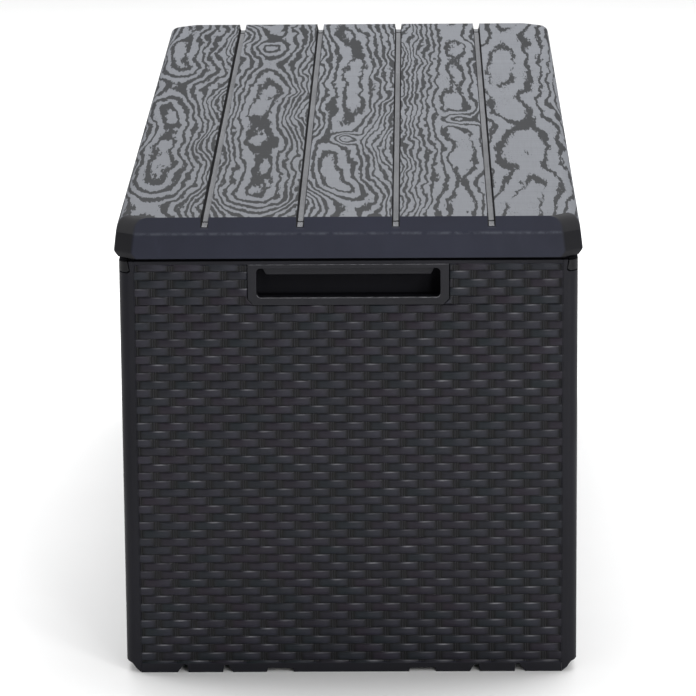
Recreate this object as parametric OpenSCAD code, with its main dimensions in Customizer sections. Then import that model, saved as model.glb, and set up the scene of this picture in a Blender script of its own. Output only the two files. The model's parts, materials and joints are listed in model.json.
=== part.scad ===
// Deck storage box: four moulded wall panels on a ribbed floor, closed by a hinged lid whose top is
// moulded as five lengthwise planks. X runs along the box, -Y is the front and +Y the hinge side,
// Z is up, and the origin is on the ground under the middle of the box. Millimetres.

/* [Overall] */
// Length over the lid
box_l = 1280; // [1200:10:1340]
// Depth over the lid, front to back
box_d = 540; // [520:5:580]
// Height from the ground to the top of the planks
box_h = 546; // [500:2:600]

/* [Walls] */
// How far the lid skirt stands proud of the walls
body_inset = 5.5; // [5:0.5:6]
// Wall thickness at its smooth frame
wall_t = 5.5; // [5:0.5:6.5]
// Depth of the field that the weave relief fills
weave_recess = 2.6; // [2:0.1:3]
// Radius of the upright corners
corner_r = 12; // [9:1:13]
// Smooth upright border beside each weave field
border_w = 17; // [16:0.5:19]
// Height of the smooth rail under the weave of the long walls
rail_h = 18; // [16:1:22]
// Height of the smooth rail under the weave of the end walls, just over their notches
end_rail_h = 11; // [10.5:0.5:14]
// Height of the smooth rim over the weave
rim_h = 4; // [3:0.5:6]

/* [Lid] */
// Height of the lid from the skirt's lower edge to the planks
lid_h = 45; // [44:1:50]
// Wall thickness of the lid
lid_t = 3; // [2.5:0.1:3.5]
// How far each cut corner of the lid reaches along its end
lid_corner_y = 21; // [18:1:24]
// How far each cut corner of the lid reaches along its side
lid_corner_x = 15; // [12:1:18]
// Distance from one plank to the next
plank_pitch = 110; // [100:1:112]
// Width of the grooves between planks, at the top
groove_w = 9; // [7:0.5:11]
// Width of the grooves at the floor
groove_floor_w = 5.5; // [4:0.5:6.5]
// Depth of the grooves
groove_deep = 9.5; // [7:0.5:10]

/* [Grip] */
// Width of the hand slot
slot_w = 212; // [180:2:216]
// Height of the hand slot
slot_h = 35; // [30:1:35]
// Width of the smooth plate around the slot
plate_w = 232; // [228:2:240]
// Depth of the pocket behind the slot, from the wall's outer face
pocket_deep = 44; // [36:1:50]

/* [Hinge] */
// Radius of the hinge pins
pin_r = 2.5; // [2:0.1:3]
// Radial running clearance of the lid knuckles on the pins
pin_play = 0.06; // [0.03:0.01:0.09]
// Outer radius of the knuckles
knuckle_r = 6.2; // [5.5:0.1:6.4]
// Distance from the middle hinge to each outer hinge
hinge_pitch = 430; // [380:10:460]

/* [Hidden] */
$fn = 48;
eps = 0.01;

anthracite = [0.21, 0.22, 0.24];
charcoal = [0.16, 0.17, 0.18];
wood_grey = [0.50, 0.51, 0.53];
near_black = [0.07, 0.07, 0.08];
steel = [0.66, 0.67, 0.69];
rubber_black = [0.05, 0.05, 0.05];

body_l = box_l - 2 * body_inset;
body_d = box_d - 2 * body_inset;
skirt_z = box_h - lid_h;            // lower edge of the lid skirt
shoulder_z = skirt_z - 4.5;         // ledge of the walls, just under the skirt
shoulder_t = 3;
lip_set = 10.9;                     // wall face to the upright lip
lip_t = 3;
lip_z = skirt_z + 24;               // top of the upright lip
panel_gap = 0.3;
return_y = body_d / 2 - border_w;   // where the long panels' returns meet the end panels
field_top = shoulder_z - rim_h;
side_field_l = body_l - 2 * border_w;
inner_l = body_l - 2 * wall_t;
inner_d = body_d - 2 * wall_t;
inner_r = 3;

floor_z = 21.5;
floor_t = 3;
floor_rib_deep = 9;
foot_r = 18;
foot_wall = 2.5;
ledge_w = 9;
ledge_t = 3.5;
rib_t = 2.5;
rib_deep = 7;
rib_from_z = 28;

slot_r = 5;
slot_z = skirt_z - 30.8;            // middle of the hand slot
plate_from_z = slot_z - 26;
plate_chamfer = 7;
collar_wall = 1.6;
collar_deep = 16;                   // wall face to the collar's end, where the finger lip hangs
grip_lip_t = 3;
grip_lip_drop = 10;
hook_h = 2;
pocket_wall = 1.5;
grip_hole_y = slot_w / 2 + collar_wall + 0.3;
grip_hole_z = slot_h / 2 + collar_wall + 0.3;

axis_y = box_d / 2 - 7;             // the lid turns about this line
axis_z = skirt_z + 7;
hinge_half = 30;                    // half length of a hinge
lid_knuckle_half = 11;
knuckle_side_gap = 1;
bracket_t = 2.4;
lid_plate_y = box_d / 2 - lid_t - 2;    // outer face of the lid's hinge plates
lid_plate_t = 3;
skirt_notch_half = 34;
skirt_notch_top = axis_z + 7.5;

screw_r = 1.9;
screw_hole_r = 2.0;
screw_head_r = 3.8;
screw_head_h = 2.4;

brace_w = 20;
brace_h = 10;
brace_wall = 1.5;
brace_l = 1180;
rib_low_z = box_h - 15;             // lower edge of the lid's cross ribs
lid_rib_x = [for (i = [-4:4]) i * 140];
groove_y = [for (i = [-1.5:1:1.5]) i * plank_pitch];
brace_clip_x = [-490, -210, 210, 490];
bumper_x = [-560, -140, 140, 560];
bumper_y = body_d / 2 - lip_set - lip_t / 2;
bumper_r = 6;

skirt_cut_y = 4.6;                  // chamfer along the skirt's lower edge on the long sides
skirt_cut_z = 7;

// Outline of the lid, level by level: height over the skirt's lower edge, inset at the ends and at the sides
lid_levels = [
    [0, 0, skirt_cut_y], [skirt_cut_z, 0, 0], [lid_h - 17, 0.8, 2.5], [lid_h - 15.4, 2, 2.6],
    [lid_h - 8, 9, 4], [lid_h - 3.5, 13.2, 7.2], [lid_h - 1, 15.5, 11.5], [lid_h, 16.5, 17]
];

// Lower edge of an end panel, from the middle outwards: distance from the middle, height
end_foot_edge = [
    [68, 0], [68.7, 5], [98.3, 5], [99.5, 0], [139, 0], [144.5, 8.5], [150, 8.5], [151, 0],
    [192, 0], [193, 8.5], [197, 10], [204.5, 0]
];

// ---- shared shapes ----

module rounded_rect(w, d, r) {
    square([w - 2 * r, d], center = true);
    square([w, d - 2 * r], center = true);
    for (sx = [-1, 1], sy = [-1, 1])
        translate([sx * (w / 2 - r), sy * (d / 2 - r)]) circle(r);
}

// An upright slab with rounded corners, from z0 to z1
module slab(z0, z1, w, d, r) {
    translate([0, 0, z0]) linear_extrude(z1 - z0) rounded_rect(w, d, r);
}

// A box given by its lowest and highest corners
module block(low, high) {
    translate(low) cube(high - low);
}

// A pan head screw: the head's underside is at the origin, and the shank runs along +Z
module screw(len) {
    difference() {
        translate([0, 0, -screw_head_h]) cylinder(r = screw_head_r, h = screw_head_h);
        for (a = [0, 90])
            rotate(a) block([-2, -0.5, -screw_head_h - 1], [2, 0.5, -screw_head_h + 1.1]);
    }
    cylinder(r = screw_r, h = len);
}

// Extrudes a shape drawn in the end's plane, with y to its right and z up, from x0 to x1
module on_end(x0, x1) {
    translate([x0, 0, 0]) rotate([90, 0, 90]) linear_extrude(x1 - x0) children();
}

module along_x(sign) {
    rotate([0, sign * 90, 0]) children();
}

module along_y(sign) {
    rotate([-sign * 90, 0, 0]) children();
}

// ---- where the fasteners go ----

panel_screw_y = body_d / 2 - border_w + 4.7;
tongue_x = body_l / 2 - wall_t - 0.2;       // outer face of the end panels' tongues
tongue_t = 4.3;
tongue_top = shoulder_z - shoulder_t - 1.5;

module at_panel_screws() {
    for (sx = [-1, 1], sy = [-1, 1], z = [80, 250, 420])
        translate([sx * (tongue_x - tongue_t), sy * panel_screw_y, z]) along_x(sx) children();
}

module at_bracket_screws() {
    for (i = [-1:1], sx = [-1, 1])
        translate([i * hinge_pitch + sx * 20, body_d / 2 - lip_set - lip_t, axis_z + 6])
            along_y(1) children();
}

module at_lid_hinge_screws() {
    for (i = [-1:1], sx = [-1, 1])
        translate([i * hinge_pitch + sx * 21, lid_plate_y - lid_plate_t, skirt_z + 18.9])
            along_y(1) children();
}

module at_clip_screws() {
    for (x = brace_clip_x, y = [-plank_pitch, plank_pitch], s = [-1, 1])
        translate([x, y + s * 17, rib_low_z - 2]) children();
}

// ---- walls ----

// The four walls as one ring, before they are parted into panels
module wall_ring() {
    difference() {
        slab(0, shoulder_z, body_l, body_d, corner_r);
        slab(-1, shoulder_z - shoulder_t, inner_l, inner_d, inner_r);
        slab(shoulder_z - shoulder_t - 1, shoulder_z + 1,
            body_l - 2 * (lip_set + lip_t), body_d - 2 * (lip_set + lip_t), 2);
    }
    difference() {
        slab(shoulder_z - 1, lip_z, body_l - 2 * lip_set, body_d - 2 * lip_set, 5);
        slab(shoulder_z - 2, lip_z + 1,
            body_l - 2 * (lip_set + lip_t), body_d - 2 * (lip_set + lip_t), 2);
    }
    difference() {
        slab(floor_z - ledge_t, floor_z, inner_l + 2, inner_d + 2, inner_r);
        slab(floor_z - ledge_t - 1, floor_z + 1, inner_l - 2 * ledge_w, inner_d - 2 * ledge_w, 2);
    }
}

// Cuts the lower edge of a long panel into feet, and lifts it clear of the ground at the corners
module long_foot_cuts() {
    half = body_l / 2;
    for (sx = [-1, 1]) {
        for (x = [145, 285, 425])
            block([sx * x - 15, -body_d, -1], [sx * x + 15, body_d, 5]);
        for (x = [75, 215, 355])
            translate([sx * x, 0, 0]) rotate([90, 0, 0]) linear_extrude(2 * body_d, center = true)
                polygon([[-6, -1], [-3.5, 8.5], [3, 8.5], [6, -1]]);
        rotate([90, 0, 0]) linear_extrude(2 * body_d, center = true)
            polygon([[sx * (half - 72), -1], [sx * (half - 62), 14], [sx * (half - wall_t - 1), 14],
                [sx * (half - wall_t - 1), -1]]);
    }
}

module long_panel(side) {
    difference() {
        intersection() {
            wall_ring();
            scale([1, side, 1]) block([-body_l, return_y, -1], [body_l, body_d, box_h]);
        }
        scale([1, side, 1])
            block([-side_field_l / 2, body_d / 2 - weave_recess, rail_h],
                [side_field_l / 2, body_d, field_top]);
        long_foot_cuts();
        // The return's lower edge curves up from the end panel's foot
        scale([1, side, 1]) for (sx = [-1, 1])
            on_end(sx * body_l / 2 - border_w, sx * body_l / 2 + border_w)
                polygon([[return_y - 1, -1], [return_y, 0.5], [return_y + 5.5, 5],
                    [return_y + 8.5, 9.5], [return_y + 11, 12], [body_d / 2 - 1, 13.5],
                    [body_d / 2 + 1, 14], [body_d / 2 + 1, -1]]);
        clip_pockets();
        at_panel_screws() cylinder(r = screw_hole_r, h = tongue_t + 4.4);
    }
    // Upright stiffening ribs on the inside
    for (x = [65, 195, 325, 455, 585], sx = [-1, 1])
        scale([1, side, 1]) block([sx * x - rib_t / 2, inner_d / 2 - rib_deep, rib_from_z],
            [sx * x + rib_t / 2, inner_d / 2 + 1, shoulder_z - shoulder_t + 1]);
}

module end_foot_profile() {
    left = [for (i = [len(end_foot_edge) - 1:-1:0]) [-end_foot_edge[i][0], end_foot_edge[i][1]]];
    edge = return_y - panel_gap;
    polygon(concat([[-edge, 0]], left, end_foot_edge, [[edge, 0], [edge, shoulder_z], [-edge, shoulder_z]]));
}

module end_panel(side) {
    end_reach = 50;
    edge = return_y - panel_gap;
    x_out = side * body_l / 2;
    difference() {
        intersection() {
            wall_ring();
            union() {
                scale([side, 1, 1]) block([0, -edge, shoulder_z - shoulder_t], [body_l, edge, box_h]);
                on_end(x_out - end_reach, x_out + end_reach) end_foot_profile();
            }
        }
        scale([side, 1, 1]) {
            block([body_l / 2 - weave_recess, -edge + 1, end_rail_h], [body_l, edge - 1, field_top]);
            block([inner_l / 2 - 1, -grip_hole_y, slot_z - grip_hole_z],
                [body_l, grip_hole_y, slot_z + grip_hole_z]);
        }
    }
    // Tongues behind the returns of the long panels
    difference() {
        for (sy = [-1, 1])
            scale([side, sy, 1])
                block([tongue_x - tongue_t, edge - 8, rib_from_z], [tongue_x, return_y + 8, tongue_top]);
        at_panel_screws() cylinder(r = screw_hole_r, h = tongue_t + 1);
    }
    for (sy = [-1, 1]) scale([side, sy, 1]) {
        block([tongue_x - 1, edge - 8, rib_from_z], [tongue_x + 1, edge, shoulder_z - shoulder_t]);
        block([inner_l / 2 - rib_deep, 60, rib_from_z], [inner_l / 2 + 1, 60 + rib_t, plate_from_z]);
        block([inner_l / 2 - rib_deep, 180, rib_from_z],
            [inner_l / 2 + 1, 180 + rib_t, shoulder_z - shoulder_t]);
    }
}

module front_panel() {
    color(anthracite) long_panel(-1);
}

module back_panel() {
    color(anthracite) difference() {
        long_panel(1);
        at_bracket_screws() cylinder(r = screw_hole_r, h = lip_t + 1);
    }
}

module floor_panel() {
    rib_x = inner_l / 2 - ledge_w - 3;
    rib_y = inner_d / 2 - ledge_w - 3;
    color(charcoal) {
        difference() {
            slab(floor_z, floor_z + floor_t, inner_l - 3, inner_d - 3, 5);
            for (x = [-420, -140, 140, 420], y = [-125, 125])
                translate([x, y, floor_z - 1]) cylinder(r = 4, h = floor_t + 2);
        }
        for (i = [-2:2])
            block([-rib_x, i * rib_y / 2 - 1, floor_z - floor_rib_deep],
                [rib_x, i * rib_y / 2 + 1, floor_z + 1]);
        for (i = [-5:5])
            block([i * rib_x / 5 - 1, -rib_y, floor_z - floor_rib_deep],
                [i * rib_x / 5 + 1, rib_y, floor_z + 1]);
        for (i = [-4, -2, 0, 2, 4], j = [-1:1])
            translate([i * rib_x / 5, j * rib_y / 2, 0]) difference() {
                cylinder(r = foot_r, h = floor_z + 1);
                translate([0, 0, -1]) cylinder(r = foot_r - foot_wall, h = floor_z + 1);
            }
    }
}

// ---- corner clips ----

clip_w = 12;
clip_h = 12.5;
clip_gap = 1.3;

module clip_outline(grow) {
    inner_y = body_d / 2 - clip_w - grow;
    low = shoulder_z - clip_h - grow;
    polygon([[inner_y + 2, shoulder_z + 1], [inner_y, low + 2], [inner_y + 3, low],
        [body_d / 2 + 2, low + 0.6], [body_d / 2 + 2, shoulder_z + 1]]);
}

module clip_pockets() {
    for (sx = [-1, 1], sy = [-1, 1]) scale([sx, sy, 1])
        on_end(body_l / 2 - clip_w - clip_gap, body_l / 2 + clip_w) clip_outline(clip_gap);
}

module corner_clips() {
    color(charcoal) for (sx = [-1, 1], sy = [-1, 1]) scale([sx, sy, 1])
        intersection() {
            on_end(body_l / 2 - clip_w, body_l / 2 + clip_w) clip_outline(0);
            difference() {
                slab(0, shoulder_z - 0.3, body_l, body_d, corner_r);
                slab(-1, shoulder_z - shoulder_t - 0.5, inner_l, inner_d, inner_r);
                slab(shoulder_z - 9, shoulder_z + 1,
                    body_l - 2 * lip_set + 0.6, body_d - 2 * lip_set + 0.6, 5);
            }
        }
}

module panel_screws() {
    color(steel) at_panel_screws() screw(tongue_t + 4);
}

// ---- hand grips ----

// The smooth plate around a hand slot, seen from the end
module plate_outline() {
    w = plate_w / 2;
    polygon([[-w, field_top - 0.3], [-w, plate_from_z + plate_chamfer], [-w + plate_chamfer, plate_from_z],
        [w - plate_chamfer, plate_from_z], [w, plate_from_z + plate_chamfer], [w, field_top - 0.3]]);
}

// The plate lies on the wall's recess; its collar passes through the wall and snaps behind it
module grip_plate(side) {
    x_out = body_l / 2;
    x_in = x_out - wall_t;
    x_lip = x_out - collar_deep;
    collar_z = slot_h / 2 + collar_wall;
    lip_half = slot_w / 2 - 5;
    color(anthracite) scale([side, 1, 1]) {
        difference() {
            union() {
                on_end(x_out - weave_recess, x_out) plate_outline();
                on_end(x_lip, x_out - 1) translate([0, slot_z])
                    rounded_rect(slot_w + 2 * collar_wall, 2 * collar_z, slot_r + collar_wall);
            }
            on_end(x_lip - 1, x_out + 1) translate([0, slot_z]) rounded_rect(slot_w, slot_h, slot_r);
        }
        // The lip that the fingers hook behind, with slanted ends
        on_end(x_lip, x_lip + grip_lip_t) translate([0, slot_z + slot_h / 2])
            polygon([[-lip_half + 6, -grip_lip_drop], [-lip_half, collar_wall / 2],
                [lip_half, collar_wall / 2], [lip_half - 6, -grip_lip_drop]]);
        for (y = [-70, 70], s = [-1, 1])
            translate([0, y, slot_z + s * collar_z]) rotate([90, 0, 0]) linear_extrude(12, center = true)
                polygon([[x_in - 0.3, -s * 0.5], [x_in - 0.3, s * hook_h],
                    [x_in - 7, 0], [x_in - 7, -s * 0.5]]);
    }
}

// A box open towards the slot, which keeps rain and fingers out of the store
module grip_pocket(side) {
    x_in = body_l / 2 - wall_t;
    x_back = body_l / 2 - pocket_deep;
    pocket_y = slot_w / 2 + collar_wall + 0.5;
    pocket_z = slot_h / 2 + collar_wall + hook_h + 0.4;
    color(near_black) scale([side, 1, 1]) difference() {
        block([x_back - pocket_wall, -pocket_y - pocket_wall, slot_z - pocket_z - pocket_wall],
            [x_in, pocket_y + pocket_wall, slot_z + pocket_z + pocket_wall]);
        block([x_back, -pocket_y, slot_z - pocket_z], [x_in + 1, pocket_y, slot_z + pocket_z]);
    }
}

// ---- hinges ----

module at_hinge(i) {
    translate([i * hinge_pitch, axis_y, axis_z]) children();
}

module hinge_bracket(i) {
    leaf_y = body_d / 2 - lip_set - axis_y;
    color(charcoal) difference() {
        at_hinge(i) difference() {
            union() {
                block([-hinge_half, leaf_y, -10.5], [hinge_half, leaf_y + bracket_t, 11]);
                for (s = [-1, 1]) scale([s, 1, 1]) {
                    x0 = lid_knuckle_half + knuckle_side_gap;
                    translate([x0, 0, 0]) along_x(1) cylinder(r = knuckle_r, h = hinge_half - x0);
                    block([x0, leaf_y + 1, -4.5], [hinge_half, 0, 4.5]);
                }
            }
            translate([-hinge_half - 1, 0, 0]) along_x(1) cylinder(r = pin_r, h = 2 * hinge_half + 2);
        }
        at_bracket_screws() cylinder(r = screw_hole_r, h = 12);
    }
}

module hinge_pin(i) {
    color(steel) at_hinge(i) {
        translate([-hinge_half - 0.5, 0, 0]) along_x(1) cylinder(r = pin_r, h = 2 * hinge_half + 1.5);
        translate([hinge_half, 0, 0]) along_x(1) cylinder(r = pin_r + 1.7, h = 1.8);
    }
}

module hinge_bracket_screws() {
    color(steel) at_bracket_screws() screw(lip_t + bracket_t);
}

module lid_hinge(i) {
    plate_y = lid_plate_y - axis_y;
    color(charcoal) difference() {
        at_hinge(i) difference() {
            union() {
                translate([-lid_knuckle_half, 0, 0])
                    along_x(1) cylinder(r = knuckle_r, h = 2 * lid_knuckle_half);
                block([-lid_knuckle_half, -4, 0], [lid_knuckle_half, plate_y, 16]);
                block([-hinge_half, plate_y - lid_plate_t, 8], [hinge_half, plate_y, 16]);
            }
            translate([-hinge_half, 0, 0]) along_x(1) cylinder(r = pin_r + pin_play, h = 2 * hinge_half);
        }
        at_lid_hinge_screws() translate([0, 0, -1]) cylinder(r = screw_hole_r, h = 12);
    }
}

module lid_hinge_screws() {
    color(steel) at_lid_hinge_screws() screw(lid_plate_t + 2.1);
}

// ---- lid ----

// Plan of the lid: a rectangle with its corners cut off
module cut_corner_rect(w, d, cut_x, cut_y) {
    polygon([for (c = [[1, 1], [-1, 1], [-1, -1], [1, -1]], k = [0, 1])
        (c[0] * c[1] > 0) == (k == 0)
            ? [c[0] * w / 2, c[1] * (d / 2 - cut_y)]
            : [c[0] * (w / 2 - cut_x), c[1] * d / 2]]);
}

// The lid's outer form, or the hollow under it when it is inset and its top is dropped
module lid_form(inset, drop) {
    hull() for (l = lid_levels)
        translate([0, 0, skirt_z + l[0] - (l[0] > lid_h - 15 ? drop : 0)])
            linear_extrude(eps) cut_corner_rect(box_l - 2 * (l[1] + inset), box_d - 2 * (l[2] + inset),
                lid_corner_x - inset / 3, lid_corner_y - inset / 3);
}

// The hollow under the lid, with its beads, ribs and pads standing in it
module lid_hollow() {
    bead_w = groove_w + 2 * lid_t;
    top = box_h + 1;
    difference() {
        union() {
            lid_form(lid_t, lid_t);
            translate([0, 0, skirt_z - 1]) linear_extrude(2) cut_corner_rect(box_l - 2 * lid_t,
                box_d - 2 * (lid_t + skirt_cut_y), lid_corner_x - lid_t / 3, lid_corner_y - lid_t / 3);
        }
        for (y = groove_y)
            block([-box_l, y - bead_w / 2, box_h - groove_deep - lid_t], [box_l, y + bead_w / 2, top]);
        for (x = lid_rib_x)
            block([x - rib_t / 2, -bumper_y - 4, rib_low_z], [x + rib_t / 2, bumper_y + 4, top]);
        for (x = brace_clip_x, y = [-plank_pitch, plank_pitch])
            block([x - 8, y - 21, rib_low_z], [x + 8, y + 21, top]);
        for (x = bumper_x, y = [-bumper_y, bumper_y])
            translate([x, y, rib_low_z]) cylinder(r = bumper_r + 1, h = top - rib_low_z);
    }
}

module lid_shell() {
    color(wood_grey) difference() {
        lid_form(0, 0);
        lid_hollow();
        for (y = groove_y)
            translate([0, y, box_h]) rotate([90, 0, 90]) linear_extrude(2 * box_l, center = true)
                polygon([[-groove_w / 2, 1], [-groove_w / 2, 0], [-groove_floor_w / 2, -groove_deep],
                    [groove_floor_w / 2, -groove_deep], [groove_w / 2, 0], [groove_w / 2, 1]]);
        for (i = [-1:1])
            block([i * hinge_pitch - skirt_notch_half, box_d / 2 - 10, skirt_z - 1],
                [i * hinge_pitch + skirt_notch_half, box_d / 2 + 1, skirt_notch_top]);
        at_lid_hinge_screws() cylinder(r = screw_hole_r, h = lid_plate_t + 2.3);
        at_clip_screws() cylinder(r = screw_hole_r, h = 9);
    }
}

module lid_brace(side) {
    color(steel) on_end(-brace_l / 2, brace_l / 2)
        translate([side * plank_pitch, rib_low_z - brace_h / 2 - 0.2]) difference() {
            square([brace_w, brace_h], center = true);
            square([brace_w - 2 * brace_wall, brace_h - 2 * brace_wall], center = true);
        }
}

module brace_clips() {
    low = rib_low_z - brace_h - 0.4;
    color(charcoal) difference() {
        for (x = brace_clip_x, y = [-plank_pitch, plank_pitch]) translate([x, y, 0]) {
            for (s = [-1, 1]) {
                scale([1, s, 1]) block([-7, brace_w / 2 + 0.2, low - 2], [7, brace_w / 2 + 2.2, rib_low_z]);
                scale([1, s, 1]) block([-7, brace_w / 2 + 0.2, rib_low_z - 2], [7, 21, rib_low_z]);
            }
            block([-7, -brace_w / 2 - 2.2, low - 2], [7, brace_w / 2 + 2.2, low]);
        }
        at_clip_screws() translate([0, 0, -1]) cylinder(r = screw_hole_r, h = 5);
    }
}

module brace_clip_screws() {
    color(steel) at_clip_screws() screw(9);
}

module lid_bumpers() {
    color(rubber_black) for (x = bumper_x, y = [-bumper_y, bumper_y])
        translate([x, y, lip_z + 0.3]) cylinder(r = bumper_r, h = rib_low_z - lip_z - 0.3);
}

floor_panel();
front_panel();
back_panel();
color(anthracite) end_panel(-1);  // end_panel_left
color(anthracite) end_panel(1);  // end_panel_right
grip_plate(-1);  // grip_plate_left
grip_plate(1);  // grip_plate_right
grip_pocket(-1);  // grip_pocket_left
grip_pocket(1);  // grip_pocket_right
corner_clips();
panel_screws();
hinge_bracket(-1);  // hinge_bracket_left
hinge_bracket(0);  // hinge_bracket_centre
hinge_bracket(1);  // hinge_bracket_right
hinge_bracket_screws();
hinge_pin(-1);  // hinge_pin_left
hinge_pin(0);  // hinge_pin_centre
hinge_pin(1);  // hinge_pin_right
lid_shell();
lid_hinge(-1);  // lid_hinge_left
lid_hinge(0);  // lid_hinge_centre
lid_hinge(1);  // lid_hinge_right
lid_hinge_screws();
lid_brace(-1);  // lid_brace_front
lid_brace(1);  // lid_brace_back
brace_clips();
brace_clip_screws();
lid_bumpers();
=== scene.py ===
"""Looks, stage, light and camera for the deck storage box.

Metres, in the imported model's frame: X along the box, -Y the front, +Y the hinge side, Z up.
The woven relief of the walls and the printed lid are built here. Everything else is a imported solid
with a procedural material.
"""
import json
import math

import bpy
import numpy as np
from mathutils import Matrix, Vector


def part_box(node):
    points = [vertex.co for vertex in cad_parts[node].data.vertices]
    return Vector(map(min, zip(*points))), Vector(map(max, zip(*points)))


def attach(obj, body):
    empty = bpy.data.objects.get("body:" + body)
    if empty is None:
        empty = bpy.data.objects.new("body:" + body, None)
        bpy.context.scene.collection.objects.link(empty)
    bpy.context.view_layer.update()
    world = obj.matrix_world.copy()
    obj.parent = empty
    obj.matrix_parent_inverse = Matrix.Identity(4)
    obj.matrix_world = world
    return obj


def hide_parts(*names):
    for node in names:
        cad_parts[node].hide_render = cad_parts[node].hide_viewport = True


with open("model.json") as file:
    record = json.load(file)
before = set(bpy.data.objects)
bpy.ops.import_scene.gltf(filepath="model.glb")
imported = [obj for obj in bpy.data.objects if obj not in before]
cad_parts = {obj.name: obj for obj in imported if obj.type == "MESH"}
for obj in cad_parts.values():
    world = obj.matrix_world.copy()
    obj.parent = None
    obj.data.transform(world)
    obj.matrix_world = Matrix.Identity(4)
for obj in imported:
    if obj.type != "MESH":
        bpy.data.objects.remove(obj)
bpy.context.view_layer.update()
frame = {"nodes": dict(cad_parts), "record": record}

MM = 0.001

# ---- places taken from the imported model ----

LID_LOW, LID_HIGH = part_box("lid_shell")
HALF_L = LID_HIGH.x
HALF_D = LID_HIGH.y
LID_TOP = LID_HIGH.z
SKIRT_Z = LID_LOW.z
END_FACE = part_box("end_panel_right")[1].x
BACK_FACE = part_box("back_panel")[1].y

# ---- the lid's form ----

# Outline of the lid, level by level, in mm: height over the skirt's lower edge, inset at the ends, inset
# at the sides
LID_LEVELS = [
    (0, 0, 4.6), (6, 0, 0), (9, 0, 0.1), (28, 0.8, 2.5), (29.6, 2, 2.6), (37, 9, 4),
    (41.5, 13.2, 7.2), (44, 15.5, 11.5), (45, 16.5, 17),
]
CUT_X = 15 * MM                # how far a cut corner reaches along the side
CUT_Y = 21 * MM                # and along the end
CORNER_SOFTNESS = 2 * MM
LID_WALL = 3 * MM
RIM_WALL = 2.1 * MM
PRINT_HEIGHT = 31 * MM         # top of the rim on the long sides, over the skirt's edge
BEVEL_EDGE_HEIGHT = 28.7 * MM        # the bevel's lower edge, along which a highlight is painted
# half the height of the band of painted highlight
PAINTED_HIGHLIGHT_HALF = PRINT_HEIGHT - BEVEL_EDGE_HEIGHT
PLANK_PITCH = 110 * MM
GROOVE_HALF = 4.5 * MM
GROOVE_DEEP = 9.5 * MM
GROOVES = [(i - 1.5) * PLANK_PITCH for i in range(4)]
GROOVE_STEP = 0.1 * MM         # width of the steps at a groove's sides and at its slits
SLIT_PLACE = 26 * MM           # a groove's drain slit, from where the groove runs out
SLIT_HALF = 2 * MM
SLIT_DIP = 1.2 * MM
# Half of a groove's section, in mm: distance from its middle, depth under the planks
GROOVE_SIDE = [(4.5, 0.9), (4.3, 2), (3.3, 8.8), (3.05, 9.3), (2.75, 9.5), (1.4, 9.5), (0.3, 9.5)]
GROOVE_MIDDLE = (0, 9.75)
GROOVE_FLOOR_FROM = 9          # in mm, the depth at which the pale floor starts
# A plank's rounded edge, in mm: distance from the edge, depth under the plank's face
PLANK_LIP = [(0, 1.3), (0, 0.8), (0.07, 0.5), (0.23, 0.23), (0.5, 0.07), (0.8, 0)]
HINGES = [(low.x + high.x) / 2 for low, high in
          (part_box(f"hinge_bracket_{word}") for word in ("left", "centre", "right"))]
NOTCH_HALF = 34 * MM
NOTCH_TOP = 14.5 * MM
RIB_LOW = LID_TOP - 15 * MM
RIB_PITCH = 140 * MM
RIB_REACH = 256 * MM
RIB_HALF = 1.25 * MM
BRACE_CLIPS = [x * MM for x in (-490, -210, 210, 490)]
CLIP_PAD_HALF_X = 8 * MM
CLIP_PAD_HALF_Y = 21 * MM
OVERLAP = 0.5 * MM             # how far the lid's pieces reach into each other

# ---- the weave ----

RECESS = 2.6 * MM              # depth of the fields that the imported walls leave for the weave
SIDE_FIELD_LOW = 18 * MM
END_FIELD_LOW = 11 * MM
FIELD_HIGH = SKIRT_Z - 8.5 * MM
FIELD_BORDER = 17 * MM
FIELD_RISE = 2 * MM            # over this width the relief rises to the smooth border
PLATE_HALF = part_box("grip_plate_right")[1].y
PLATE_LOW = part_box("grip_plate_right")[0].z
PLATE_CHAMFER = 7 * MM
STRAND_PERIOD = 41.1 * MM
ROW_PITCH = 10 * MM
ROW_START = 4.3 * MM           # height of a seam between two rows, over the ground
# Section of a strand from its lower seam to its upper one: place in the row, share of the full height
STRAND_PLACES = [0, 0.05, 0.11, 0.8, 0.87, 0.93, 1]
STRAND_SHARES = [0, 0.66, 0.97, 1, 0.96, 0.66, 0]
GAP_HALF = 3.5 * MM            # half the gap between two strands of a row
STRAND_MID = 2.45 * MM         # height of a strand over the field's floor, at its middle
STRAND_END = 0.75 * MM
STRAND_ARCH = 1.45             # power of a strand's arch, from its middle to its ends
STRAND_VARIES = 0.12 * MM      # how much the strands differ in height
END_STEP = 0.3 * MM            # width of the step from a strand's end down to the gap
SEAM_LEVEL = 0.35 * MM
GAP_FLOOR = 0.25 * MM
WARP_RIB = 0.75 * MM
WARP_RIB_PITCH = 2.6 * MM
SHEET_MARGIN = 0.5 * MM        # how far the weave's sheet goes on above and below its field
PLATE_OVERLAP = 2.5 * MM       # and under the grip plate

# ---- colours ----

WALL_COLOUR = (0.0068, 0.0068, 0.0105, 1)
TRIM_COLOUR = (0.0055, 0.0055, 0.007, 1)
POCKET_COLOUR = (0.008, 0.008, 0.011, 1)
LID_DARK = (0.0145, 0.0165, 0.031, 1)
# painted shade for the lid's cut corners
PAINTED_CORNER_SHADE = (0.0095, 0.0095, 0.0115, 1)
# near black: painted shade on the groove walls and in the drain slits
PAINTED_GROOVE_SHADE = (0.006, 0.006, 0.007, 1)
GROOVE_FLOOR_COLOUR = (0.22, 0.225, 0.24, 1)
# painted highlight for the grip slot's lower lip
PAINTED_LIP_HIGHLIGHT = (0.3, 0.3, 0.32, 1)
# painted highlight for the strands' top edges
PAINTED_STRAND_HIGHLIGHT = (0.18, 0.18, 0.195, 1)
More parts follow.
